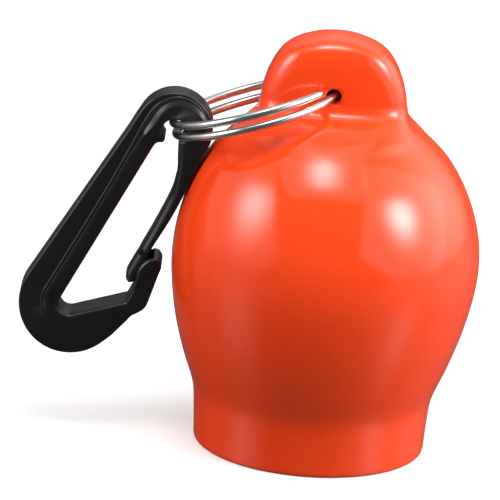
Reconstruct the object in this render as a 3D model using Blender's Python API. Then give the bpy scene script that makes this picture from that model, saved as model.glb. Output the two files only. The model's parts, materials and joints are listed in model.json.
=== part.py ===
"""Regulator mouthpiece cover with a split ring and a snap hook.

Frame: metres, +Z up. The origin is the centre of the cover's mouth, in the plane of its rim, which
stands on the table at z = 0. +X points away from the snap hook, -Y is the front. The tab's hole
runs along Y, so the ring, the hook and the hook's leaf all turn about axes along Y.
"""
import math

import bmesh
import bpy
from mathutils import Matrix, Vector

MM = 0.001

# Cover: a dip-moulded shell. Each profile point is (half width, height) in mm.
COVER_PROFILE = (
    (19.8, 0.0), (20.0, 2.0), (20.2, 5.0), (20.5, 8.5), (21.1, 11.0), (23.0, 16.0), (24.8, 22.0),
    (25.95, 28.0), (26.35, 33.0), (25.95, 38.0), (24.7, 43.0), (22.85, 47.5), (20.05, 52.0),
    (16.2, 56.0), (13.7, 58.5), (12.7, 60.5), (12.2, 63.0), (11.3, 66.0), (9.8, 69.0),
    (8.0, 71.0), (5.2, 72.3), (0.6, 73.0),
)
WALL = 2.5                 # shell thickness
MOUTH_FLAT = 1.7           # flat width of the rim that rests on the table
TAB_HALF_DEPTH = 6.5       # front-to-back half thickness of the tab
TAB_BASE = (55.0, 61.5)    # heights between which the round bulb flattens into the tab
TAB_HALF_WIDTH = 12.7
TAB_SQUARENESS = 2.5       # superellipse exponent of the tab's section; 2 is an ellipse
BULB_OFFSET = 0.75         # the soft bulb stands this far off the axis, to +X
BULB_OFFSET_HEIGHT = 38.0
BULB_OFFSET_SPREAD = 17.0
HOLE_HEIGHT = 63.3
HOLE_RADIUS = 1.4
AROUND = 44                # points around one cover section

# Split ring: one wire wound twice, crossing over inside the tab
WIRE_RADIUS = 0.7
RING_RADIUS = 14.5         # to the wire's centre line
TURN_PITCH = 2.04          # between the centre lines of the two turns
RING_DROOP = 18.2          # degrees, left end down
RING_REACH = 1.05          # how far the ring's centre line passes beyond the hole's axis
WIRE_END = 37.0            # degrees from the hole to each cut end
CROSSOVER = 78.0           # degrees on each side of the hole in which the wire changes level
RING_SPLAY = 4.68          # degrees, front side up, so that both holes lie at one height
WIRE_STEP = 7.0            # degrees between stations along the wire
WIRE_SIDES = 10

# Snap hook, drawn in its own plane: x across towards the gate, y along the hook towards its eye,
# with (0, 0) at the eye's centre.
HOOK_LEAN = 30.4           # degrees from upright
HOOK_THICKNESS = 7.0
BAND_THICKNESS = 5.7       # of the thinner band along the outer side
ARCH_RADIUS = 6.55
EYE_RADIUS = 2.1
BEND_CENTRE = (2.35, -35.6)
BEND_RADIUS = 8.8
BEND_INNER_CENTRE = (2.3, -35.6)
BEND_INNER_RADIUS = 1.9
GATE_CUT = -9.0            # where the leaf starts, and the height of its bending axis
GATE_AXIS = (6.6, GATE_CUT)
CUT_GAP = 0.3
LEAF_THICKNESS = 6.0       # front-to-back, narrower than the hook
TONGUE_THICKNESS = 4.2
SLOT_THICKNESS = 4.8

COLOURS = {                # base colour, roughness, metallic
    "cover": ((1.0, 0.085, 0.018), 0.28, 0.0),
    "split_ring": ((0.75, 0.74, 0.72), 0.18, 1.0),
    "clip": ((0.012, 0.012, 0.013), 0.42, 0.0),
}


def clear_scene():
    for item in list(bpy.data.objects):
        bpy.data.objects.remove(item, do_unlink=True)


def material(kind):
    colour, roughness, metallic = COLOURS[kind]
    result = bpy.data.materials.new(kind)
    result.use_nodes = True
    shader = result.node_tree.nodes["Principled BSDF"]
    shader.inputs["Base Color"].default_value = (*colour, 1.0)
    shader.inputs["Roughness"].default_value = roughness
    shader.inputs["Metallic"].default_value = metallic
    return result


def add_object(name, form, kind=None):
    """Make an object from a bmesh drawn in mm."""
    bmesh.ops.scale(form, vec=(MM, MM, MM), verts=form.verts)
    mesh = bpy.data.meshes.new(name)
    form.to_mesh(mesh)
    form.free()
    item = bpy.data.objects.new(name, mesh)
    bpy.context.scene.collection.objects.link(item)
    if kind:
        mesh.materials.append(material(kind))
        mesh.shade_smooth()
        mesh.set_sharp_from_angle(angle=math.radians(35))
    return item


def boolean(item, tool, operation):
    """Join or cut with a tool object, which the build leaves out."""
    tool.hide_render = True
    tool.display_type = "WIRE"
    change = item.modifiers.new(tool.name, "BOOLEAN")
    change.operation = operation
    change.object = tool


def arc(centre, radius, start, end, steps):
    """Points on a circle from one angle to another, in degrees."""
    points = []
    for step in range(steps + 1):
        angle = math.radians(start + (end - start) * step / steps)
        points.append((centre[0] + radius * math.cos(angle), centre[1] + radius * math.sin(angle)))
    return points


def smooth_curve(points, pieces):
    """A Catmull-Rom curve through the points, with so many pieces between neighbours."""
    ends = [points[0], *points, points[-1]]
    curve = []
    for index in range(1, len(ends) - 2):
        before, start, end, after = (Vector(point) for point in ends[index - 1:index + 3])
        for piece in range(pieces):
            t = piece / pieces
            curve.append((2 * start + (end - before) * t
                          + (2 * before - 5 * start + 4 * end - after) * t ** 2
                          + (3 * start - before - 3 * end + after) * t ** 3) / 2)
    curve.append(Vector(points[-1]))
    return curve


def smoothstep(low, high, value):
    t = min(max((value - low) / (high - low), 0.0), 1.0)
    return t * t * (3 - 2 * t)


def bridge_rings(form, rings):
    """Join each ring of vertices to the next one with quads."""
    for lower, upper in zip(rings, rings[1:]):
        for index in range(len(lower)):
            following = (index + 1) % len(lower)
            form.faces.new((lower[index], lower[following], upper[following], upper[index]))


# ---- cover -------------------------------------------------------------------------------------

def bulb_offset(height):
    return BULB_OFFSET * math.exp(-((height - BULB_OFFSET_HEIGHT) / BULB_OFFSET_SPREAD) ** 2)


def cover_section(form, half_width, height, inset):
    """One ring of vertices: round in the bulb, a flattened superellipse in the tab."""
    flat = smoothstep(*TAB_BASE, height)
    share = 1 - min(half_width, TAB_HALF_WIDTH) / TAB_HALF_WIDTH
    tab_depth = TAB_HALF_DEPTH * math.sqrt(1 - share ** 2)
    half_depth = (1 - flat) * half_width + flat * tab_depth
    power = 2 / (2 + (TAB_SQUARENESS - 2) * flat)
    ring = []
    for index in range(AROUND):
        angle = 2 * math.pi * index / AROUND
        cosine, sine = math.cos(angle), math.sin(angle)
        across = (half_width - inset) * math.copysign(abs(cosine) ** power, cosine)
        deep = (half_depth - inset) * math.copysign(abs(sine) ** power, sine)
        ring.append(form.verts.new((across + bulb_offset(height), deep, height)))
    return ring


def build_cover():
    profile = [(point.x, point.y) for point in smooth_curve(COVER_PROFILE, 2)]
    form = bmesh.new()
    outer = [cover_section(form, width, height, 0) for width, height in profile]
    inner_profile = [point for point in profile[::2] if point[0] > 2 * WALL and point[1] > WALL / 2]
    inner = [cover_section(form, width, height - WALL / 4, WALL) for width, height in inner_profile]
    rim = cover_section(form, COVER_PROFILE[0][0], 0, MOUTH_FLAT)
    bridge_rings(form, outer)
    bridge_rings(form, list(reversed(inner)) + [rim, outer[0]])
    form.faces.new(outer[-1])
    form.faces.new(list(reversed(inner[-1])))
    cover = add_object("cover", form, "cover")

    form = bmesh.new()
    turn = Matrix.Translation((0, 0, HOLE_HEIGHT)) @ Matrix.Rotation(math.pi / 2, 4, "X")
    bmesh.ops.create_cone(form, cap_ends=True, segments=24, radius1=HOLE_RADIUS,
                          radius2=HOLE_RADIUS, depth=4 * TAB_HALF_DEPTH, matrix=turn)
    boolean(cover, add_object("tab_hole_cutter", form), "DIFFERENCE")


# ---- split ring --------------------------------------------------------------------------------

def eye_centre():
    """The left end of the ring, midway between its turns, where the hook hangs."""
    reach = 2 * RING_RADIUS - RING_REACH
    droop = math.radians(RING_DROOP)
    return Vector((-reach * math.cos(droop), 0, HOLE_HEIGHT - reach * math.sin(droop)))


def wire_level(angle):
    """Height of the centre line over the ring's middle plane, for a winding angle in degrees."""
    from_hole = angle - 360
    share = min(max(from_hole / CROSSOVER, -1), 1)
    return TURN_PITCH / 2 * math.sin(share * math.pi / 2)


def wire_point(angle):
    turn = math.radians(angle)
    return Vector((RING_RADIUS * math.cos(turn), RING_RADIUS * math.sin(turn), wire_level(angle)))


def build_split_ring():
    """The winding angle is 360 at the tab's hole and grows from the front to the back."""
    start, end = WIRE_END, 720 - WIRE_END
    steps = round((end - start) / WIRE_STEP)
    form = bmesh.new()
    rings = []
    for step in range(steps + 1):
        angle = start + (end - start) * step / steps
        centre = wire_point(angle)
        along = (wire_point(angle + 0.5) - wire_point(angle - 0.5)).normalized()
        outward = Vector((centre.x, centre.y, 0)).normalized()
        upward = along.cross(outward)
        ring = []
        for side in range(WIRE_SIDES):
            around = 2 * math.pi * side / WIRE_SIDES
            offset = math.cos(around) * outward - math.sin(around) * upward
            ring.append(form.verts.new(centre + WIRE_RADIUS * offset))
        rings.append(ring)
    bridge_rings(form, rings)
    form.faces.new(list(reversed(rings[0])))
    form.faces.new(rings[-1])
    bmesh.ops.recalc_face_normals(form, faces=form.faces)
    ring = add_object("split_ring", form, "split_ring")

    # The mesh is moved so that the object's origin is on the axis through the tab's holes.
    hole = Vector((0, 0, HOLE_HEIGHT))
    centre_from_hole = Vector((RING_REACH - RING_RADIUS, 0, 0)) * MM
    ring.data.transform(Matrix.Rotation(math.radians(-RING_SPLAY), 4, "X"))
    ring.data.transform(Matrix.Translation(centre_from_hole))
    ring.data.transform(Matrix.Rotation(math.radians(-RING_DROOP), 4, "Y"))
    ring.location = hole * MM


# ---- snap hook ---------------------------------------------------------------------------------

def hook_matrix():
    """Takes a shape drawn in the hook's own plane, in metres, to its place on the ring."""
    return (Matrix.Translation(eye_centre() * MM) @ Matrix.Rotation(math.radians(HOOK_LEAN), 4, "Y")
            @ Matrix.Rotation(math.pi / 2, 4, "X"))


def plate(outline, thickness):
    """A flat piece with the given outline, centred on the hook's middle plane."""
    form = bmesh.new()
    base = form.faces.new([form.verts.new((x, y, -thickness / 2)) for x, y in outline])
    grown = bmesh.ops.extrude_face_region(form, geom=[base])
    top = [item for item in grown["geom"] if isinstance(item, bmesh.types.BMVert)]
    bmesh.ops.translate(form, verts=top, vec=(0, 0, thickness))
    bmesh.ops.recalc_face_normals(form, faces=form.faces)
    return form


SPINE_INNER_TOP = (-1.4, -4.2)
TOOTH = ((-1.35, -3.6), (-0.9, -3.05), (-0.45, -2.7), (-0.5, -2.2))
ARM_INNER_TOP = (10.1, -29.8)
ROOT_INNER = ((2.9, -3.2), (3.7, -4.4), (4.4, -5.6), (5.0, -6.9), (5.65, GATE_CUT + CUT_GAP / 2))
ROOT_OUTER = (7.75, GATE_CUT + CUT_GAP / 2)
ROOT_SIDE = ((7.1, -4.7), (6.8, -2.5))     # the root's outer side up to the arch
NOSE_OUTER = ((12.1, -32.6), (12.3, -31.3), (12.9, -30.3), (13.35, -28.6), (12.65, -25.1))
NOSE_TOP = ((12.0, -22.5), (11.6, -21.1), (10.7, -20.55), (9.8, -20.7))
LOBE_INNER = ((8.9, -22.4), (8.6, -23.3), (8.7, -24.3), (9.4, -26.1), (9.9, -27.8))
LEAF_INNER = ((6.15, -11.4), (6.5, -14.2), (6.85, -17.6), (7.1, -21.5))
LEAF_OUTER = ((8.75, -21.2), (8.5, -17.6), (8.35, -14.2), (8.12, -11.4))
TONGUE = ((7.2, -20.6), (7.2, -23.8), (7.4, -25.6), (7.8, -26.6), (8.5, -27.0), (9.2, -26.7),
          (9.5, -26.1), (9.5, -22.2), (8.6, -20.4))
SLOT = ((7.6, -19.6), (9.8, -19.6), (9.8, -28.7), (7.6, -28.7))
EDGE_BAND = 0.4            # width of the thinner band along the gate side of the arch
BAND_LINE = ((-2.69, 5.51), (-4.72, 2.75), (-5.2, 0.0), (-5.05, -3.3), (-3.98, -13.6),
             (-3.35, -26.5), (-2.85, -35.4))     # the full thickness starts inside this line
BAND_STEP = 0.1            # the band's outer side is set in this far where it fades out in the bend
BAND_OVERLAP = 0.8         # how far the thinner band reaches into the thick body
BAND_END = 240             # degrees round the bend at which the thinner band ends


def thick_outline():
    """The full-thickness body, whose spine and arch are set in by the thinner band."""
    arch = arc((0, 0), ARCH_RADIUS - EDGE_BAND, 0, 88, 8)
    bend = [point for point in arc(BEND_CENTRE, BEND_RADIUS, 180, 350, 22)
            if point[1] < BEND_CENTRE[1] - BEND_RADIUS / 2]
    eye = arc((0, 0), EYE_RADIUS, -107, -395, 22)
    return [ROOT_OUTER, *ROOT_SIDE, *arch, *BAND_LINE, *bend, *NOSE_OUTER, *NOSE_TOP, *LOBE_INNER,
            ARM_INNER_TOP, *arc(BEND_INNER_CENTRE, BEND_INNER_RADIUS, 320, 190, 6),
            SPINE_INNER_TOP, *TOOTH, *eye[1:], *ROOT_INNER]


def thin_outline():
    """The thinner band round the arch and down the spine, which fades out in the bend."""
    bend = arc(BEND_CENTRE, BEND_RADIUS - BAND_STEP, 180, BAND_END, 8)
    bend_inner = arc(BEND_CENTRE, BEND_RADIUS / 2, BAND_END, 200, 3)
    spine = [(x + BAND_OVERLAP, y) for x, y in reversed(BAND_LINE) if y < 0]
    return [*arc((0, 0), ARCH_RADIUS, 0, 180, 16), *bend, *bend_inner, *spine,
            *arc((0, 0), ARCH_RADIUS - 2 * BAND_OVERLAP - EDGE_BAND, 176, 0, 12)]


def build_hook():
    place = hook_matrix()
    body = add_object("clip_body", plate(thick_outline(), HOOK_THICKNESS), "clip")
    band = add_object("thin_band", plate(thin_outline(), BAND_THICKNESS))
    slot = add_object("nose_slot_cutter", plate(SLOT, SLOT_THICKNESS))
    for item in (body, band, slot):
        item.matrix_world = place
    boolean(body, band, "UNION")
    boolean(body, slot, "DIFFERENCE")

    leaf_top = GATE_CUT - CUT_GAP / 2
    leaf = [(5.75, leaf_top), *LEAF_INNER, *LEAF_OUTER, (7.78, leaf_top)]
    gate = add_object("clip_gate", plate(leaf, LEAF_THICKNESS), "clip")
    tongue = add_object("gate_tongue", plate(TONGUE, TONGUE_THICKNESS))
    axis = Matrix.Translation(Vector((*GATE_AXIS, 0)) * MM)
    for item in (gate, tongue):
        item.data.transform(axis.inverted())
        item.matrix_world = place @ axis
    boolean(gate, tongue, "UNION")


clear_scene()
build_cover()
build_split_ring()
build_hook()
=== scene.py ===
"""Looks of the regulator mouthpiece cover, its split ring and its snap hook.

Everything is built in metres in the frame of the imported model: +Z up, -Y the front, the origin at the
centre of the cover's mouth. Shapes are drawn in millimetres and scaled when they become meshes.
"""
import json
import math

import bmesh
import bpy
from mathutils import Matrix, Vector


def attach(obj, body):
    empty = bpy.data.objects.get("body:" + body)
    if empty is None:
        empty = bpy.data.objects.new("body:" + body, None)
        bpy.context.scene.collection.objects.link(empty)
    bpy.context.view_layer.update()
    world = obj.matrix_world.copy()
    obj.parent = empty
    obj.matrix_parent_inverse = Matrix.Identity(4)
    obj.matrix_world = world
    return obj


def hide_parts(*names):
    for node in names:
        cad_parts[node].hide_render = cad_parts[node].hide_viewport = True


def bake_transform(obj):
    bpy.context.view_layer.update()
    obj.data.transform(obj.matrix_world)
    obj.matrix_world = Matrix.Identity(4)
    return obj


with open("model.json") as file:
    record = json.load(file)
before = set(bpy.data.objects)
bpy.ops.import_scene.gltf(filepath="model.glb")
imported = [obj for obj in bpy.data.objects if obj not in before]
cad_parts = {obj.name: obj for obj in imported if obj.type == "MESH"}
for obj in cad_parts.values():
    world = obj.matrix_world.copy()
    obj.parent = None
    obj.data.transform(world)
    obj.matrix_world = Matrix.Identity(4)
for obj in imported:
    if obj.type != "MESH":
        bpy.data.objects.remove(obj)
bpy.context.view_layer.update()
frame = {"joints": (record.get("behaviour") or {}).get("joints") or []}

MM = 0.001
JOINTS = {joint["name"]: joint for joint in frame["joints"]}


def joint_place(name):
    """A joint's position in mm."""
    return Vector(JOINTS[name]["pos_m"]) / MM


TAB_HOLE = joint_place("ring_swing")
EYE = joint_place("clip_swing")


# ---- helpers -----------------------------------------------------------------------------------

def smoothstep(low, high, value):
    t = min(max((value - low) / (high - low), 0.0), 1.0)
    return t * t * (3 - 2 * t)


def mix(start, end, share):
    return start + (end - start) * share


def arc(centre, radius, start, end, steps):
    """Points on a circle from one angle to another, in degrees."""
    points = []
    for step in range(steps + 1):
        angle = math.radians(mix(start, end, step / steps))
        points.append(Vector((centre[0] + radius * math.cos(angle),
                              centre[1] + radius * math.sin(angle))))
    return points


def smooth_curve(points, pieces):
    """A Catmull-Rom curve through the points, with so many pieces between neighbours."""
    ends = [points[0], *points, points[-1]]
    curve = []
    for index in range(1, len(ends) - 2):
        before, start, end, after = (Vector(point) for point in ends[index - 1:index + 3])
        for piece in range(pieces):
            t = piece / pieces
            curve.append((2 * start + (end - before) * t
                          + (2 * before - 5 * start + 4 * end - after) * t ** 2
                          + (3 * start - before - 3 * end + after) * t ** 3) / 2)
    curve.append(Vector(points[-1]))
    return curve


def resample(points, count):
    """The same line with count points at equal distances along it."""
    lengths = [0.0]
    for start, end in zip(points, points[1:]):
        lengths.append(lengths[-1] + (Vector(end) - Vector(start)).length)
    result = []
    segment = 0
    for step in range(count):
        target = lengths[-1] * step / (count - 1)
        while segment < len(points) - 2 and lengths[segment + 1] < target:
            segment += 1
        span = lengths[segment + 1] - lengths[segment]
        share = (target - lengths[segment]) / span if span else 0.0
        result.append(Vector(points[segment]).lerp(Vector(points[segment + 1]), min(share, 1.0)))
    return result


def bridge_rings(form, rings):
    """Join each ring of vertices to the next one with quads."""
    for lower, upper in zip(rings, rings[1:]):
        for index in range(len(lower)):
            following = (index + 1) % len(lower)
            form.faces.new((lower[index], lower[following], upper[following], upper[index]))


def add_piece(name, form, material, smooth_angle=50):
    """Make an object from a bmesh drawn in mm."""
    bmesh.ops.scale(form, vec=(MM, MM, MM), verts=form.verts)
    bmesh.ops.recalc_face_normals(form, faces=form.faces)
    mesh = bpy.data.meshes.new(name)
    form.to_mesh(mesh)
    form.free()
    mesh.materials.append(material)
    mesh.shade_smooth()
    mesh.set_sharp_from_angle(angle=math.radians(smooth_angle))
    piece = bpy.data.objects.new(name, mesh)
    bpy.context.scene.collection.objects.link(piece)
    return piece


def apply_modifiers(piece):
    """Replace the piece's mesh by its evaluated one, and drop the modifiers."""
    depsgraph = bpy.context.evaluated_depsgraph_get()
    mesh = bpy.data.meshes.new_from_object(piece.evaluated_get(depsgraph))
    piece.modifiers.clear()
    piece.data = mesh


def cut(piece, cutter):
    """Cut a piece with another one and delete the cutter."""
    change = piece.modifiers.new("cut", "BOOLEAN")
    change.operation = "DIFFERENCE"
    change.object = cutter
    bpy.context.view_layer.update()
    apply_modifiers(piece)
    bpy.data.objects.remove(cutter, do_unlink=True)


# ---- materials ---------------------------------------------------------------------------------

def new_material(name):
    material = bpy.data.materials.new(name)
    material.use_nodes = True
    nodes = material.node_tree.nodes
    return material, nodes, material.node_tree.links, nodes["Principled BSDF"]


def noise(nodes, links, vector, scale, detail=2.0, roughness=0.5):
    texture = nodes.new("ShaderNodeTexNoise")
    texture.inputs["Scale"].default_value = scale
    texture.inputs["Detail"].default_value = detail
    texture.inputs["Roughness"].default_value = roughness
    links.new(vector, texture.inputs["Vector"])
    return texture.outputs["Fac"]


def remap(nodes, links, value, low, high, to_low, to_high):
    change = nodes.new("ShaderNodeMapRange")
    change.inputs["From Min"].default_value = low
    change.inputs["From Max"].default_value = high
    change.inputs["To Min"].default_value = to_low
    change.inputs["To Max"].default_value = to_high
    links.new(value, change.inputs["Value"])
    return change.outputs["Result"]


def colour_mix(nodes, links, share, first, second):
    blend = nodes.new("ShaderNodeMix")
    blend.data_type = "RGBA"
    blend.inputs[6].default_value = (*first, 1.0)
    blend.inputs[7].default_value = (*second, 1.0)
    links.new(share, blend.inputs[0])
    return blend.outputs[2]


def bump(nodes, links, height, strength, distance, normal=None):
    node = nodes.new("ShaderNodeBump")
    node.inputs["Strength"].default_value = strength
    node.inputs["Distance"].default_value = distance
    links.new(height, node.inputs["Height"])
    if normal:
        links.new(normal, node.inputs["Normal"])
    return node.outputs["Normal"]


def vinyl_material():
    """Glossy dip-moulded orange vinyl: slightly translucent, with a faint uneven flow of the dip."""
    material, nodes, links, shader = new_material("orange_vinyl")
    place = nodes.new("ShaderNodeTexCoord").outputs["Object"]
    flow = noise(nodes, links, place, 45.0, 3.0)
    colour = colour_mix(nodes, links, remap(nodes, links, flow, 0.3, 0.7, 0.0, 1.0),
                        (0.93, 0.057, 0.007), (0.94, 0.068, 0.010))
    links.new(colour, shader.inputs["Base Color"])
    sheen = noise(nodes, links, place, 160.0, 3.0)
    links.new(remap(nodes, links, sheen, 0.3, 0.7, 0.11, 0.15), shader.inputs["Roughness"])
    shader.inputs["Subsurface Weight"].default_value = 0.15
    shader.inputs["Subsurface Radius"].default_value = (1.0, 0.22, 0.08)
    shader.inputs["Subsurface Scale"].default_value = 0.002
    shader.inputs["Specular IOR Level"].default_value = 0.5
    waves = bump(nodes, links, noise(nodes, links, place, 120.0, 1.0), 0.10, 0.0003)
    peel = bump(nodes, links, noise(nodes, links, place, 1400.0, 2.0), 0.05, 0.00005, waves)
    links.new(peel, shader.inputs["Normal"])
    return material


def steel_material():
    """Bright drawn stainless wire, with fine lines along it. UV runs along and around the wire."""
    material, nodes, links, shader = new_material("stainless_wire")
    uv = nodes.new("ShaderNodeTexCoord").outputs["UV"]
    stretch = nodes.new("ShaderNodeMapping")
    stretch.inputs["Scale"].default_value = (6.0, 60.0, 1.0)
    links.new(uv, stretch.inputs["Vector"])
    lines = noise(nodes, links, stretch.outputs["Vector"], 1.0, 4.0, 0.65)
    shader.inputs["Metallic"].default_value = 1.0
    links.new(colour_mix(nodes, links, lines, (0.52, 0.51, 0.49), (0.64, 0.63, 0.61)),
              shader.inputs["Base Color"])
    links.new(remap(nodes, links, lines, 0.3, 0.7, 0.17, 0.27), shader.inputs["Roughness"])
    links.new(bump(nodes, links, lines, 0.12, 0.00003), shader.inputs["Normal"])
    return material


def acetal_material():
    """Satin black moulded plastic with a fine grain and slightly polished high spots."""
    material, nodes, links, shader = new_material("black_acetal")
    place = nodes.new("ShaderNodeTexCoord").outputs["Object"]
    grain = noise(nodes, links, place, 2500.0, 3.0)
    cloud = noise(nodes, links, place, 220.0, 3.0)
    links.new(colour_mix(nodes, links, cloud, (0.0035, 0.0035, 0.004), (0.006, 0.006, 0.0065)),
              shader.inputs["Base Color"])
    links.new(remap(nodes, links, cloud, 0.3, 0.7, 0.30, 0.40), shader.inputs["Roughness"])
    links.new(bump(nodes, links, grain, 0.18, 0.00004), shader.inputs["Normal"])
    return material


VINYL = vinyl_material()
STEEL = steel_material()
ACETAL = acetal_material()


# ---- cover -------------------------------------------------------------------------------------

# The shell's outer side as (half width, height), from the rounded edge of the mouth to the top.
COVER_PROFILE = (
    (19.3, 0.0), (19.7, 0.12), (19.93, 0.55), (20.02, 2.0), (20.2, 5.0), (20.5, 8.5),
    (21.1, 11.0), (23.0, 16.0), (24.8, 22.0), (25.95, 28.0), (26.35, 33.0), (25.95, 38.0),
    (24.7, 43.0), (22.85, 47.5), (20.05, 52.0), (16.0, 56.0), (13.3, 58.5), (12.6, 60.5),
    (12.2, 63.0), (11.3, 66.0), (9.7, 69.0), (7.7, 70.85), (4.7, 72.1), (2.3, 72.6), (0.3, 72.85),
)
WALL = 2.5
RIM_INNER_EDGE = ((18.05, 0.0), (17.7, 0.15), (17.5, 0.55))     # as in the profile above
INNER_START = 1.4          # height above which the inner wall follows the outer one
TAB_HALF_DEPTH = 6.5
TAB_BASE = (55.0, 61.5)    # heights between which the section squares off into the tab
SHOULDER_RADIUS = 26.0     # seen from the side, the bulb's upper end is a ball that the tab stands on
SHOULDER_CENTRE = 35.0
SHOULDER_START = (48.0, 53.0)
NECK_FILLET = 1.8
TAB_HALF_WIDTH = 12.7
TAB_TAPER = 0.75           # how soon the tab thins towards its top; 0.5 is an ellipse
TAB_SQUARENESS = 3.3       # superellipse exponent of the tab's section; 2 is an ellipse
BULB_OFFSET = 0.75         # the bulb leans a little to the right of its mouth
BULB_OFFSET_HEIGHT = 38.0
BULB_OFFSET_SPREAD = 17.0
DRIP_HEIGHT = 0.15         # a soft ridge left by the last drop, over the top of the tab
DRIP_HALF_WIDTH = 3.4
DRIP_BASE = (70.5, 72.8)   # heights between which it rises
HOLE_RADIUS = 1.24
HOLE_LIP = 0.26            # extra radius where the hole's edge rounds into the tab
HOLE_LIP_DEPTH = 0.28
HOLE_LIP_END = 0.9
HOLE_STEPS = 60
HOLE_SIDES = 48
COVER_AROUND = 160
COVER_PIECES = 9
HALVINGS = 30              # steps of the search for the depth of a section


def bulb_offset(height):
    return BULB_OFFSET * math.exp(-((height - BULB_OFFSET_HEIGHT) / BULB_OFFSET_SPREAD) ** 2)


def neck_gap(depth, height, tab):
    """How far a point lies outside the ball and the tab when a fillet joins the two."""
    to_ball = math.hypot(depth, height - SHOULDER_CENTRE) - SHOULDER_RADIUS
    to_tab = depth - tab
    corner = math.hypot(max(NECK_FILLET - to_ball, 0.0), max(NECK_FILLET - to_tab, 0.0))
    return max(NECK_FILLET, min(to_ball, to_tab)) - corner


def section_depth(half_width, height):
    """Half the depth: the bulb's at first, and then that of the ball with the tab on it."""
    share = 1 - min(half_width, TAB_HALF_WIDTH) / TAB_HALF_WIDTH
    tab = TAB_HALF_DEPTH * (1 - share ** 2) ** TAB_TAPER
    low, high = 0.0, SHOULDER_RADIUS + TAB_HALF_DEPTH
    for _ in range(HALVINGS):
        middle = (low + high) / 2
        if neck_gap(middle, height, tab) < 0:
            low = middle
        else:
            high = middle
    return mix(half_width, high, smoothstep(*SHOULDER_START, height))


def cover_section(form, half_width, height, inset=0.0):
    """One ring of vertices: round in the bulb, a flattened superellipse in the tab."""
    flat = smoothstep(*TAB_BASE, height)
    half_depth = section_depth(half_width, height)
    power = 2 / (2 + (TAB_SQUARENESS - 2) * flat)
    ridge = 0.0 if inset else DRIP_HEIGHT * smoothstep(*DRIP_BASE, height)
    ring = []
    for index in range(COVER_AROUND):
        angle = 2 * math.pi * index / COVER_AROUND
        cosine, sine = math.cos(angle), math.sin(angle)
        across = (half_width - inset) * math.copysign(abs(cosine) ** power, cosine)
        deep = (half_depth - inset) * math.copysign(abs(sine) ** power, sine)
        rise = ridge * math.exp(-(across / DRIP_HALF_WIDTH) ** 2)
        ring.append(form.verts.new((across + bulb_offset(height), deep, height + rise)))
    return ring


def lathe_cutter(name, profile, sides):
    """A closed round cutter along Y through the tab's hole; profile is (y, radius)."""
    form = bmesh.new()
    rings = []
    for along, radius in profile:
        ring = []
        for side in range(sides):
            angle = 2 * math.pi * side / sides
            ring.append(form.verts.new((TAB_HOLE.x + radius * math.cos(angle), along,
                                        TAB_HOLE.z + radius * math.sin(angle))))
        rings.append(ring)
    bridge_rings(form, rings)
    form.faces.new(rings[0])
    form.faces.new(list(reversed(rings[-1])))
    return add_piece(name, form, VINYL)


def hole_profile():
    """The hole's radius along Y: straight in the walls, and rounded where it meets their faces."""
    profile = []
    reach = TAB_HALF_DEPTH + 1.0
    for step in range(HOLE_STEPS + 1):
        along = mix(-reach, reach, step / HOLE_STEPS)
        from_face = min(max(TAB_HALF_DEPTH - abs(along), 0.0), HOLE_LIP_END)
        profile.append((along, HOLE_RADIUS + HOLE_LIP * math.exp(-(from_face / HOLE_LIP_DEPTH) ** 2)))
    return profile


def build_cover():
    """The hollow shell: up the outside, and down the inside to the rim."""
    outer_line = [(point.x, point.y) for point in smooth_curve(COVER_PROFILE, COVER_PIECES)]
    form = bmesh.new()
    outer = [cover_section(form, width, height) for width, height in outer_line]
    bridge_rings(form, outer)
    form.faces.new(outer[-1])
    inner_line = [point for point in outer_line[::3]
                  if point[0] > 2 * WALL and point[1] > INNER_START]
    inner = [cover_section(form, width, height - WALL / 4, WALL) for width, height in inner_line]
    rim = [cover_section(form, width, height) for width, height in RIM_INNER_EDGE]
    bridge_rings(form, inner[::-1] + rim[::-1] + [outer[0]])
    form.faces.new(list(reversed(inner[-1])))
    cover = add_piece("vinyl_cover", form, VINYL, 60)
    cut(cover, lathe_cutter("hole_cutter", hole_profile(), HOLE_SIDES))
    return cover


# ---- split ring --------------------------------------------------------------------------------

WIRE_RADIUS = 0.7
RING_RADIUS = 14.5
TURN_PITCH = 2.04          # from one turn's centre line to the other's
RING_REACH = 1.05          # how far the ring's centre line passes beyond the hole's axis
WIRE_END = 37.0            # degrees from the hole to each cut end
CROSSOVER = 78.0           # degrees either side of the hole in which the wire changes turns
RING_SPLAY = 4.68          # degrees, front side up, so that it passes both ends of the hole
WIRE_STEP = 1.6            # degrees between stations along the wire
WIRE_SIDES = 24
END_ROUNDING = (0.0, 0.06, 0.16, 0.30)     # distances from a cut end at which the wire is narrower


def wire_point(angle):
    """The wire's centre line in the ring's own plane; the tab's hole is at 360 degrees."""
    turn = math.radians(angle)
    share = min(max((angle - 360) / CROSSOVER, -1), 1)
    level = TURN_PITCH / 2 * math.sin(share * math.pi / 2)
    return Vector((RING_RADIUS * math.cos(turn), RING_RADIUS * math.sin(turn), level))


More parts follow.
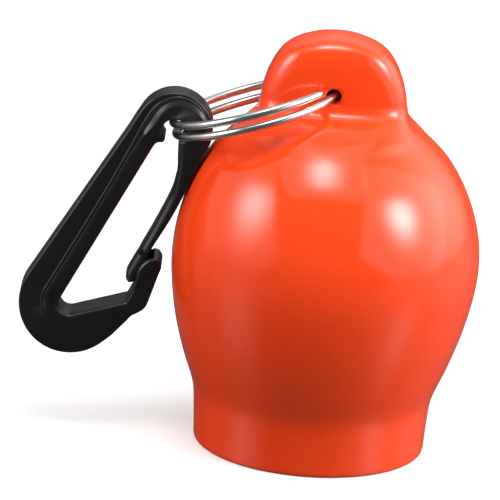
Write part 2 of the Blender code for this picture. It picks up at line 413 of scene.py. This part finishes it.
def build_ring():
    """One wire wound twice, with rounded cut ends, hung in the tab's hole."""
    start, end = WIRE_END, 720 - WIRE_END
    degree = RING_RADIUS * math.radians(1)
    rounding = [distance / degree for distance in END_ROUNDING]
    steps = round((end - start - 2 * rounding[-1]) / WIRE_STEP)
    middle = [mix(start + rounding[-1], end - rounding[-1], step / steps)
              for step in range(1, steps)]
    angles = [start + turn for turn in rounding] + middle + [end - turn for turn in rounding[::-1]]
    form = bmesh.new()
    uv_layer = form.loops.layers.uv.new("UVMap")
    rings = []
    for angle in angles:
        centre = wire_point(angle)
        along = (wire_point(angle + 0.25) - wire_point(angle - 0.25)).normalized()
        outward = Vector((centre.x, centre.y, 0)).normalized()
        upward = along.cross(outward)
        from_end = min(angle - start, end - angle) * degree
        closeness = max(0.0, 1 - from_end / END_ROUNDING[-1])
        radius = WIRE_RADIUS - END_ROUNDING[-1] * (1 - math.sqrt(1 - closeness ** 2))
        ring = []
        for side in range(WIRE_SIDES):
            around = 2 * math.pi * side / WIRE_SIDES
            offset = math.cos(around) * outward - math.sin(around) * upward
            ring.append(form.verts.new(centre + radius * offset))
        rings.append(ring)
    for index, (lower, upper) in enumerate(zip(rings, rings[1:])):
        for side in range(WIRE_SIDES):
            following = (side + 1) % WIRE_SIDES
            face = form.faces.new((lower[side], lower[following], upper[following], upper[side]))
            places = ((index, side), (index, side + 1), (index + 1, side + 1), (index + 1, side))
            for loop, (along_index, side_index) in zip(face.loops, places):
                loop[uv_layer].uv = (angles[along_index] / 360, side_index / WIRE_SIDES)
    form.faces.new(list(reversed(rings[0])))
    form.faces.new(rings[-1])
    ring = add_piece("steel_split_ring", form, STEEL, 40)
    droop = math.atan2(TAB_HOLE.z - EYE.z, TAB_HOLE.x - EYE.x)
    ring.data.transform(Matrix.Rotation(math.radians(-RING_SPLAY), 4, "X"))
    ring.data.transform(Matrix.Translation(Vector((RING_REACH - RING_RADIUS, 0, 0)) * MM))
    ring.data.transform(Matrix.Rotation(-droop, 4, "Y"))
    ring.data.transform(Matrix.Translation(TAB_HOLE * MM))
    return ring


# ---- snap hook ---------------------------------------------------------------------------------

# The hook is drawn in its own plane: x across towards the gate, y along the hook towards its eye,
# with (0, 0) at the eye's centre. A station is a line across the plastic from the outer side to
# the inner side, and a section of the hook stands on each station.
HOOK_LEAN = 30.4           # degrees from upright
HALF_THICKNESS = 3.5       # at the raised face
LEDGE_HALF_THICKNESS = 2.85
BAND_HALF_THICKNESS = 2.6
ARCH_RADIUS = 6.55
EYE_RADIUS = 2.03
EYE_START, EYE_END = -35, 255                # degrees round the eye's centre
EYE_STEPS = 96
EYE_END_HEIGHT = -1.9      # where the station at the eye's end meets the outer side
BEND_CENTRE = (2.35, -35.6)
BEND_RADIUS = 8.8
BEND_INNER_CENTRE = (2.3, -35.6)
BEND_INNER_RADIUS = 1.9
BEND_LEAD = 0.3            # the spine's stations end this far above the bend
SPINE_INNER = ((-1.4, -4.2), (0.45, -35.2))
TOOTH = ((-0.52, -2.0), (-0.42, -2.3), (-0.48, -2.65), (-0.75, -2.95), (-1.1, -3.2), (-1.33, -3.6),
         (-1.4, -4.2))
ARM_INNER_TOP = (10.1, -29.8)
ROOT_OUTER = ((7.45, -6.9), (7.1, -4.7), (6.8, -2.5), (6.55, 0.0))
ROOT_INNER = ((5.0, -6.9), (4.4, -5.6), (3.7, -4.4), (2.9, -3.2))
NOSE_OUTER = ((11.35, -36.4), (11.8, -34.2), (12.1, -32.6), (12.3, -31.4), (12.9, -30.3),
              (13.35, -29.2), (13.35, -28.1), (12.65, -25.1), (12.0, -22.5), (11.8, -21.5),
              (11.3, -20.85), (10.6, -20.55))
LOBE_INNER = ((10.1, -29.8), (10.05, -29.0), (9.9, -27.8), (9.4, -26.1), (8.75, -24.4),
              (8.6, -23.4), (8.75, -22.3), (9.1, -21.4), (9.7, -20.75))
SLOT_CORNERS = ((7.4, -28.7), (9.8, -19.6))     # the nose's slot, in which the leaf's tongue lies
SLOT_HALF_THICKNESS = 2.4
STATION_GAP = 0.04         # stations nearer than this to the last one are left out
HOOK_SMOOTH_ANGLE = 40

# A body section steps up from its outer band to a ledge, and slopes from there to the raised face:
# (length along the outer side from the arch's gate side, width of the band, where the slope starts,
# where it ends, share of the full depth of the steps).
FACE_STEPS = (
    (0.0, 0.40, 0.62, 0.80, 0.0), (6.2, 0.40, 0.66, 1.15, 1.0), (10.1, 0.42, 0.86, 1.90, 1.0),
    (13.2, 0.48, 1.12, 2.15, 1.0), (16.2, 0.88, 1.70, 2.50, 1.0), (19.2, 1.20, 2.20, 3.10, 1.0),
    (21.2, 1.30, 2.30, 3.30, 1.0), (23.0, 1.38, 2.33, 2.95, 1.0), (24.6, 1.52, 2.36, 2.52, 1.0),
    (28.7, 1.92, 2.45, 2.59, 1.0), (34.9, 2.47, 3.00, 3.14, 1.0), (46.0, 3.12, 3.68, 3.82, 1.0),
    (52.0, 3.40, 3.94, 4.09, 1.0), (56.1, 3.60, 4.12, 4.28, 0.94), (60.0, 3.70, 4.25, 4.60, 0.74),
    (64.0, 3.70, 4.30, 4.95, 0.38), (68.0, 3.60, 4.30, 5.20, 0.09), (71.0, 3.55, 4.30, 5.30, 0.0),
)
LEDGE_STEP = ((0.0, 0.0), (0.03, 0.2), (0.12, 0.85), (0.18, 1.0))    # (past the band, share of rise)
FACE_SLOPE = ((0.0, 0.0), (0.12, 0.08), (0.85, 0.93))    # (share of the slope's width, share of rise)
FACE_LEAD = 0.05           # the face is flat this far past the slope's end
OUTER_EDGE = 0.36          # radius of the body's rounded outer edge
FACE_EDGE = 0.45           # width of its rounded inner edge, which is wider on the arch
ARCH_EDGE = 1.2
ARCH_EDGE_START = (-5.5, -2.0)
ARCH_EDGE_END = (0.5, 4.0)
ROOT_STATIONS = 30
LEAF_OUTER = ((7.45, -6.9), (7.83, -9.15), (8.12, -11.4), (8.35, -14.2), (8.47, -17.6),
              (8.55, -19.6), (8.8, -20.8), (9.3, -21.7), (9.5, -22.6), (9.5, -25.6),
              (9.4, -26.25), (9.1, -26.72), (8.75, -26.95))
LEAF_INNER = ((5.0, -6.9), (5.75, -9.15), (6.15, -11.4), (6.5, -14.2), (6.83, -17.6),
              (6.98, -19.6), (7.06, -20.8), (7.1, -21.7), (7.12, -22.6), (7.36, -25.5),
              (7.55, -26.1), (7.9, -26.65), (8.3, -26.93))
LEAF_HALF_THICKNESS = 3.0
LEAF_OUTER_EDGE = 0.38
LEAF_EDGE = 0.95           # width of the leaf's rounded inner edge
INNER_EDGE_DROP = 0.75     # and at most how far an inner edge goes down the side
INNER_EDGE_FLATNESS = 0.6  # 0 is a rounding, 1 a straight bevel
TONGUE_HALF_THICKNESS = 2.1
TONGUE_RANGE = (-22.0, -20.4)                # where the leaf narrows to its tongue
ROOT_RANGE = (-10.5, -6.9)                   # where it thickens to its root


def hook_matrix():
    """Takes a shape drawn in the hook's plane, in metres, to its place on the ring."""
    return (Matrix.Translation(EYE * MM) @ Matrix.Rotation(math.radians(HOOK_LEAN), 4, "Y")
            @ Matrix.Rotation(math.pi / 2, 4, "X"))


def face_step(length):
    """The band and slope widths and the depth share at a length along the outer side."""
    for low, high in zip(FACE_STEPS, FACE_STEPS[1:]):
        if length <= high[0]:
            share = max(length - low[0], 0.0) / (high[0] - low[0])
            return [mix(start, end, share) for start, end in zip(low[1:], high[1:])]
    return list(FACE_STEPS[-1][1:])


def edge_rounding(radius, count):
    """Quarter circle as (distance from the side, distance below the face), from side to face."""
    points = []
    for step in range(count + 1):
        angle = math.pi / 2 * step / count
        points.append((radius * (1 - math.sin(angle)), radius * (1 - math.cos(angle))))
    return points[::-1]


def inner_edge_width(length):
    """The body's: as wide as the leaf's at the root, widest on the arch and narrow from there on."""
    wide = mix(LEAF_EDGE, ARCH_EDGE, smoothstep(*ARCH_EDGE_START, length))
    return mix(wide, FACE_EDGE, smoothstep(*ARCH_EDGE_END, length))


def inner_edge(width, top, reach):
    """A section's inner edge, between a bevel and a rounding, down to the middle of its side."""
    drop = min(INNER_EDGE_DROP, reach) / reach
    points = []
    for side, below in edge_rounding(reach, 4)[::-1]:
        straight = (reach - side + below) / 2
        side = mix(side, reach - straight, INNER_EDGE_FLATNESS)
        below = mix(below, straight, INNER_EDGE_FLATNESS)
        points.append((width - side, top - below * drop))
    return points + [(width, top * 0.5)]


def stepped_section(width, length):
    """Half of a body section, as (distance from the outer side, height over the middle plane)."""
    band, slope_start, slope_end, depth = face_step(length)
    band_top = mix(HALF_THICKNESS, BAND_HALF_THICKNESS, depth)
    ledge_top = mix(HALF_THICKNESS, LEDGE_HALF_THICKNESS, depth)
    radius = min(OUTER_EDGE, 0.3 * width)
    edge = min(inner_edge_width(length), 0.32 * width)
    slope_width = slope_end - slope_start
    steps = [(band + distance, mix(band_top, ledge_top, share)) for distance, share in LEDGE_STEP]
    steps += [(slope_start + across * slope_width, mix(ledge_top, HALF_THICKNESS, share))
              for across, share in FACE_SLOPE]
    steps += [(slope_end + FACE_LEAD, HALF_THICKNESS)]
    # A narrow section has no room for the steps as they are, so they are drawn together.
    room = min(1.0, 0.9 * (width - edge - radius) / (steps[-1][0] - radius))
    steps = [(radius + (side - radius) * room, height) for side, height in steps]
    half = [(0.0, 0.0), (0.0, band_top * 0.5)]
    half += [(side, band_top - below) for side, below in edge_rounding(radius, 4)]
    half += steps
    half += [(mix(steps[-1][0], width - edge, 0.4), HALF_THICKNESS)]
    return half + inner_edge(width, HALF_THICKNESS, edge)


def plain_section(width, half_thickness):
    """Half of a leaf section with rounded edges."""
    radius = min(LEAF_OUTER_EDGE, 0.28 * width)
    half = [(0.0, 0.0), (0.0, half_thickness * 0.5)]
    half += [(side, half_thickness - below) for side, below in edge_rounding(radius, 4)]
    return half + inner_edge(width, half_thickness, min(LEAF_EDGE, 0.6 * width))


def section_ring(form, outer, inner, half):
    """Vertices of one closed section standing on a station."""
    direction = (inner - outer).normalized()
    places = half + [(half[-1][0], 0.0)]
    places += [(distance, -height) for distance, height in reversed(half) if height > 0]
    return [form.verts.new((*(outer + direction * distance), height))
            for distance, height in places]


def body_stations():
    """The body from the leaf's root over the arch and the bend to the nose, as (outer point,
    inner point, length along the outer side from the start of the arch)."""
    eye = arc((0, 0), EYE_RADIUS, EYE_START, EYE_END, EYE_STEPS)
    turned = EYE_STEPS * (180 - EYE_START) // (EYE_END - EYE_START)
    eye_end = Vector((-ARCH_RADIUS, EYE_END_HEIGHT))
    tooth_end = Vector((BEND_CENTRE[0] - BEND_RADIUS, TOOTH[-1][1]))
    outer_bend = arc(BEND_CENTRE, BEND_RADIUS, 180, 340, 60)
    inner_bend = arc(BEND_INNER_CENTRE, BEND_INNER_RADIUS, 188, 320, 60)
    runs = [
        (smooth_curve(ROOT_OUTER, 6), smooth_curve([*ROOT_INNER, eye[0]], 6), ROOT_STATIONS),
        (arc((0, 0), ARCH_RADIUS, 0, 180, 60), eye[:turned + 1], 70),
        ([Vector((-ARCH_RADIUS, 0)), eye_end], eye[turned:], 14),
        ([eye_end, tooth_end], smooth_curve(TOOTH, 5), 26),
        ([tooth_end, outer_bend[0] + Vector((0, BEND_LEAD))], SPINE_INNER, 60),
        (outer_bend, inner_bend, 70),
        (smooth_curve([outer_bend[-1], *NOSE_OUTER[:3]], 6), [inner_bend[-1], ARM_INNER_TOP], 26),
        (smooth_curve(NOSE_OUTER[2:], 8), smooth_curve(LOBE_INNER, 8), 70),
    ]
    root = resample(smooth_curve(ROOT_OUTER, 6), ROOT_STATIONS)
    length = -sum((end - start).length for start, end in zip(root, root[1:]))
    stations = []
    for outer_line, inner_line, count in runs:
        for outer, inner in zip(resample(outer_line, count), resample(inner_line, count)):
            if stations:
                last_outer, last_inner, _ = stations[-1]
                step = (outer - last_outer).length
                if step + (inner - last_inner).length <= STATION_GAP:
                    continue
                length += step
            stations.append((outer, inner, length))
    return stations


def build_hook_body():
    """The stiff part of the hook, with the slot in its nose."""
    form = bmesh.new()
    rings = [section_ring(form, outer, inner, stepped_section((inner - outer).length, length))
             for outer, inner, length in body_stations()]
    bridge_rings(form, rings)
    form.faces.new(rings[0])
    form.faces.new(list(reversed(rings[-1])))
    hook = add_piece("snap_hook", form, ACETAL, HOOK_SMOOTH_ANGLE)
    form = bmesh.new()
    bmesh.ops.create_cube(form, size=1)
    low, high = (Vector((*corner, 0)) for corner in SLOT_CORNERS)
    size = high - low
    bmesh.ops.scale(form, vec=(size.x, size.y, 2 * SLOT_HALF_THICKNESS), verts=form.verts)
    bmesh.ops.translate(form, vec=(low + high) / 2, verts=form.verts)
    cut(hook, add_piece("slot_cutter", form, ACETAL))
    hook.data.set_sharp_from_angle(angle=math.radians(HOOK_SMOOTH_ANGLE))
    hook.data.transform(hook_matrix())
    return hook


def build_gate_leaf():
    """The thin leaf that closes the hook, and its narrower tongue between the nose's two sides."""
    form = bmesh.new()
    rings = []
    for outer, inner in zip(smooth_curve(LEAF_OUTER, 6), smooth_curve(LEAF_INNER, 6)):
        height = (outer.y + inner.y) / 2
        thickness = mix(TONGUE_HALF_THICKNESS, LEAF_HALF_THICKNESS,
                        smoothstep(*TONGUE_RANGE, height))
        thickness = mix(thickness, HALF_THICKNESS, smoothstep(*ROOT_RANGE, height))
        rings.append(section_ring(form, outer, inner,
                                  plain_section((inner - outer).length, thickness)))
    bridge_rings(form, rings)
    form.faces.new(rings[0])
    form.faces.new(list(reversed(rings[-1])))
    leaf = add_piece("gate_leaf", form, ACETAL, HOOK_SMOOTH_ANGLE)
    leaf.data.transform(hook_matrix())
    return leaf


clip = build_hook_body()
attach(clip, "hook_body")
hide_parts("clip_body")

leaf = build_gate_leaf()
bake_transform(leaf)
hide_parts("clip_gate")

vinyl_cover = build_cover()
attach(vinyl_cover, "cover_body")
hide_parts("cover")

steel_ring = build_ring()
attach(steel_ring, "ring_body")
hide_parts("split_ring")


# ---- stage -------------------------------------------------------------------------------------

CAMERA_DISTANCE = 0.8
CAMERA_ELEVATION = math.radians(16.7)
CAMERA_ROLL = math.radians(4.0)
CAMERA_TARGET = Vector((-12.3, 0, 33.57)) * MM
FRAME_WIDTH = 0.08575      # width of the view at the target
SENSOR = 36.0

# Softboxes: the direction to the lamp's hot spot, its distance, the direction across the box, its
# size, where the hot spot lies from the box's centre (in m), the even brightness of its cloth, the
# brightness of the hot spot, and how far that spreads in m.
SOFTBOXES = {
    "softbox_left": ((-0.84, -0.34, 0.45), 0.5, (0.54, -0.62, 0.57), (0.65, 0.70), (0.175, 0.0),
                     0.55, 9.5, 0.09),
    "softbox_right": ((0.80, -0.35, 0.47), 0.5, (-0.54, -0.62, 0.57), (0.70, 0.70), (0.07, 0.0),
                      1.1, 18.5, 0.070),
    "softbox_top": ((-0.065, -0.265, 0.95), 0.6, (1.0, 0.0, 0.0), (0.60, 0.50), (0.0, 0.0),
                    0.95, 14.0, 0.066),
    "softbox_back": ((0.10, 0.62, 0.78), 0.7, (1.0, 0.0, 0.0), (1.8, 1.2), (0.0, 0.0),
                     0.0, 0.95, 0.28),
    "softbox_side": ((0.90, 0.30, 0.32), 0.7, (0.3, -0.95, 0.0), (1.2, 1.4), (0.0, 0.0),
                     0.0, 2.6, 0.26),
}
FLOOR_HALF = 3.0
FLOOR_COLOUR = 0.70
FLOOR_GLOW = 0.35          # keeps the far part of the floor as pale as the near part
TABLE_COLOUR = 0.06
AIM = Vector((0.0, 0.0, 0.04))               # the place that the softboxes face, in m
AMBIENT = 0.14


def add_camera():
    camera = bpy.data.objects.new("camera", bpy.data.cameras.new("camera"))
    bpy.context.scene.collection.objects.link(camera)
    back = Vector((0, -math.cos(CAMERA_ELEVATION), math.sin(CAMERA_ELEVATION)))
    camera.location = CAMERA_TARGET + CAMERA_DISTANCE * back
    turn = back.to_track_quat("Z", "Y").to_matrix().to_4x4()
    camera.rotation_euler = (turn @ Matrix.Rotation(CAMERA_ROLL, 4, "Z")).to_euler()
    camera.data.sensor_width = SENSOR
    camera.data.lens = SENSOR * CAMERA_DISTANCE / FRAME_WIDTH
    camera.data.clip_start = 0.01
    bpy.context.scene.camera = camera


def math_node(nodes, links, operation, first, second):
    node = nodes.new("ShaderNodeMath")
    node.operation = operation
    for socket, value in zip(node.inputs, (first, second)):
        if isinstance(value, (int, float)):
            socket.default_value = value
        else:
            links.new(value, socket)
    return node.outputs[0]


def add_softbox(name, direction, distance, across, size, hot_spot, even, hot, spread):
    """An area light with a soft hot spot, hidden from the camera."""
    light = bpy.data.lights.new(name, "AREA")
    light.shape = "RECTANGLE"
    light.size, light.size_y = size
    light.energy = math.pi * size[0] * size[1]
    light.use_nodes = True
    nodes, links = light.node_tree.nodes, light.node_tree.links
    place = nodes.new("ShaderNodeNewGeometry").outputs["Parametric"]
    shift = nodes.new("ShaderNodeVectorMath")
    shift.operation = "SUBTRACT"
    shift.inputs[1].default_value = (0.5 + hot_spot[0] / size[0], 0.5 + hot_spot[1] / size[1], 0)
    links.new(place, shift.inputs[0])
    stretch = nodes.new("ShaderNodeVectorMath")
    stretch.operation = "MULTIPLY"
    stretch.inputs[1].default_value = (size[0] / spread, size[1] / spread, 0)
    links.new(shift.outputs[0], stretch.inputs[0])
    square = nodes.new("ShaderNodeVectorMath")
    square.operation = "DOT_PRODUCT"
    links.new(stretch.outputs[0], square.inputs[0])
    links.new(stretch.outputs[0], square.inputs[1])
    power = math_node(nodes, links, "MULTIPLY", square.outputs["Value"], -0.5)
    bell = math_node(nodes, links, "EXPONENT", power, 0.0)
    glow = math_node(nodes, links, "MULTIPLY", bell, hot)
    links.new(math_node(nodes, links, "ADD", glow, even), nodes["Emission"].inputs["Strength"])
    back = Vector(direction).normalized()
    upward = back.cross(Vector(across)).normalized()
    across = upward.cross(back)
    turn = Matrix((across, upward, back)).transposed().to_4x4()
    place = AIM + distance * back - hot_spot[0] * across - hot_spot[1] * upward
    item = bpy.data.objects.new(name, light)
    item.matrix_world = Matrix.Translation(place) @ turn
    item.visible_camera = False
    bpy.context.scene.collection.objects.link(item)


def add_floor():
    """A pale floor to look at. The object's reflections and soft light come from a darker glossy
    table top just under it instead, because a white floor would wash out the cover's lower half."""
    for name, height, colour, roughness, glow in (
            ("floor", 0.0, FLOOR_COLOUR, 0.5, FLOOR_GLOW),
            ("table_top", -0.0002, TABLE_COLOUR, 0.25, 0.0)):
        mesh = bpy.data.meshes.new(name)
        corners = ((-1, -1), (1, -1), (1, 1), (-1, 1))
        mesh.from_pydata([(FLOOR_HALF * x, FLOOR_HALF * y, height) for x, y in corners],
                         [], [(0, 1, 2, 3)])
        material, _, _, shader = new_material(name)
        shader.inputs["Base Color"].default_value = (colour, colour, colour, 1)
        shader.inputs["Roughness"].default_value = roughness
        shader.inputs["Emission Color"].default_value = (1, 1, 1, 1)
        shader.inputs["Emission Strength"].default_value = glow
        mesh.materials.append(material)
        plane = bpy.data.objects.new(name, mesh)
        bpy.context.scene.collection.objects.link(plane)
        if name == "floor":
            plane.visible_glossy = plane.visible_diffuse = plane.visible_shadow = False
        else:
            plane.visible_camera = False


def add_world():
    world = bpy.data.worlds.new("studio")
    world.use_nodes = True
    background = world.node_tree.nodes["Background"]
    background.inputs["Color"].default_value = (1, 1, 1, 1)
    background.inputs["Strength"].default_value = AMBIENT
    bpy.context.scene.world = world
    bpy.context.scene.view_settings.view_transform = "Standard"


add_camera()
add_world()
add_floor()
for box_name, box in SOFTBOXES.items():
    add_softbox(box_name, *box)
